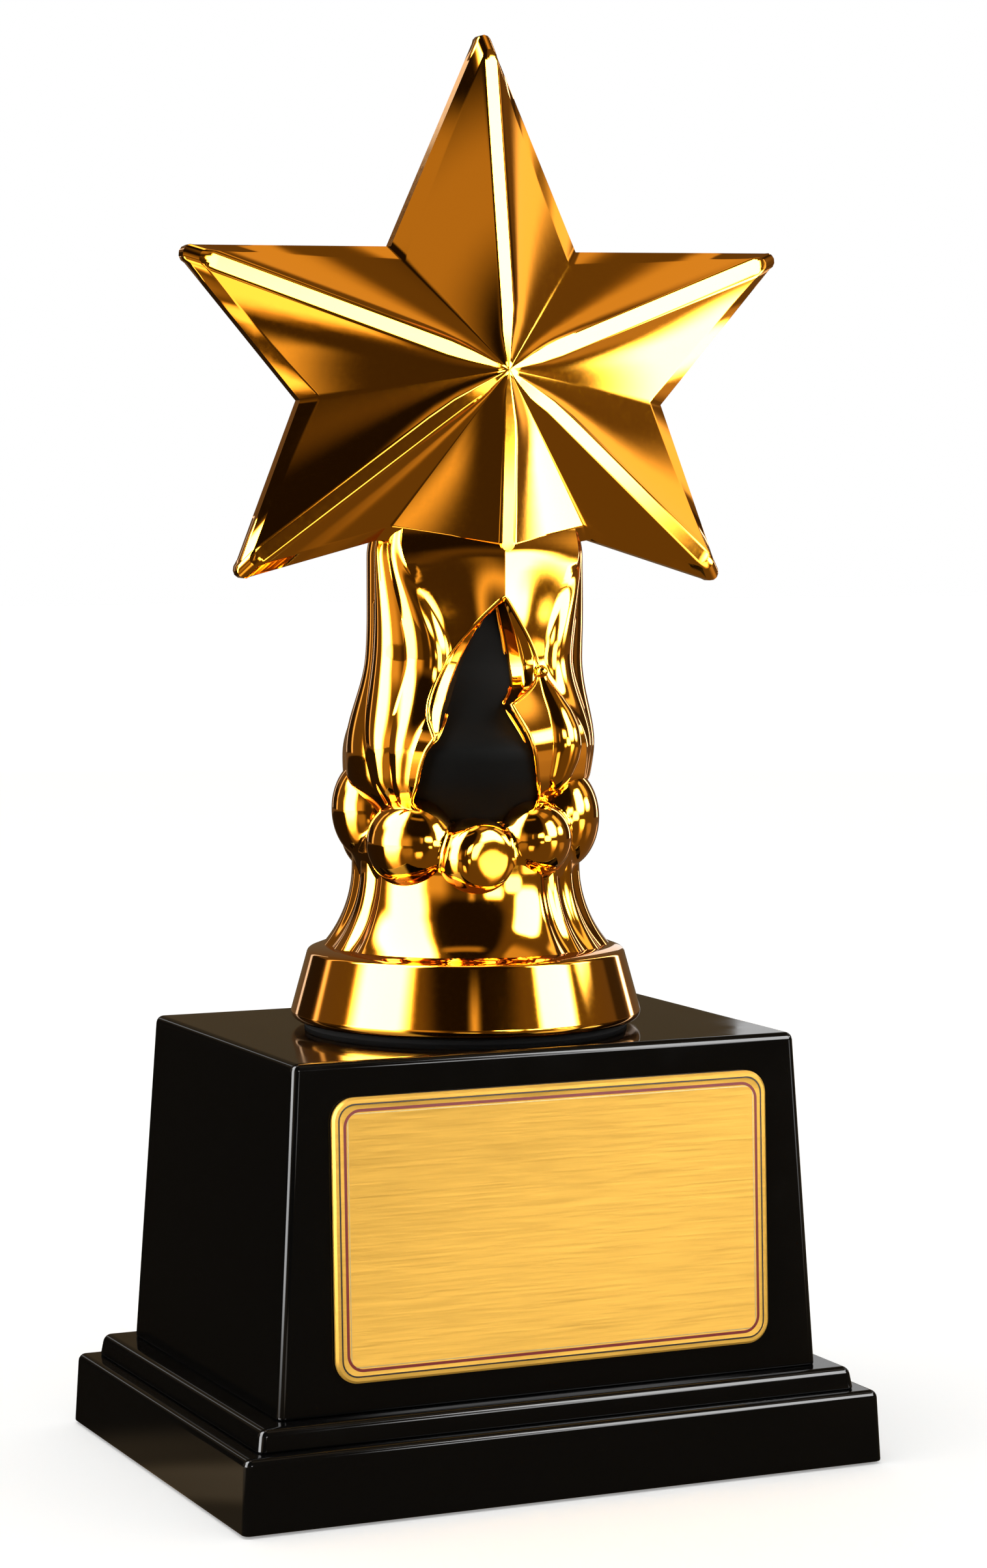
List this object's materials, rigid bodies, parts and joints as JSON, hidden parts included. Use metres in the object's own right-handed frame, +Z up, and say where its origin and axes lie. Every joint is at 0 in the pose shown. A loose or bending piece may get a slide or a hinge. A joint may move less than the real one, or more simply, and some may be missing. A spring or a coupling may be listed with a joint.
{
  "type": "star trophy",
  "caption": "Gold faceted star on a reeded column with a flame-shaped black niche, bead collar and round foot, on a black stepped base with a blank engraving plate.",
  "frame": {"origin": "centre of the bottom of the base, on the surface it stands on", "axes": "+Z up, -Y towards the side with the engraving plate, +X to the right seen from that side"},
  "size_m": [0.12, 0.0884, 0.2498],
  "materials": {
    "base_lacquer": "polished black lacquer on wood",
    "hardware_steel": "zinc-plated steel",
    "base_felt": "dark felt",
    "plate_metal": "brushed gold engraving plate",
    "plate_line": "dark red filled line",
    "tape_foam": "white adhesive foam tape",
    "gasket_rubber": "black rubber",
    "gold_casting": "polished gold-plated zinc casting",
    "anchor_brass": "turned brass",
    "core_black": "black moulded plastic"
  },
  "bodies": {
    "root": {"plinth": "base_lacquer", "step_board": "base_lacquer", "base_block": "base_lacquer", "base_screws": "hardware_steel", "felt_pad": "base_felt", "name_plate": "plate_metal", "plate_enamel": "plate_line", "plate_tape": "tape_foam", "foot_gasket": "gasket_rubber", "foot_disc": "gold_casting", "waist_stem": "gold_casting", "bead_collar": "gold_casting", "rod_anchor": "anchor_brass", "core_insert": "core_black", "figure_front": "gold_casting", "figure_back": "gold_casting", "tie_rod": "hardware_steel", "rod_washer": "hardware_steel", "spring_washer": "hardware_steel", "rod_nut": "hardware_steel"}
  },
  "joints": []
}
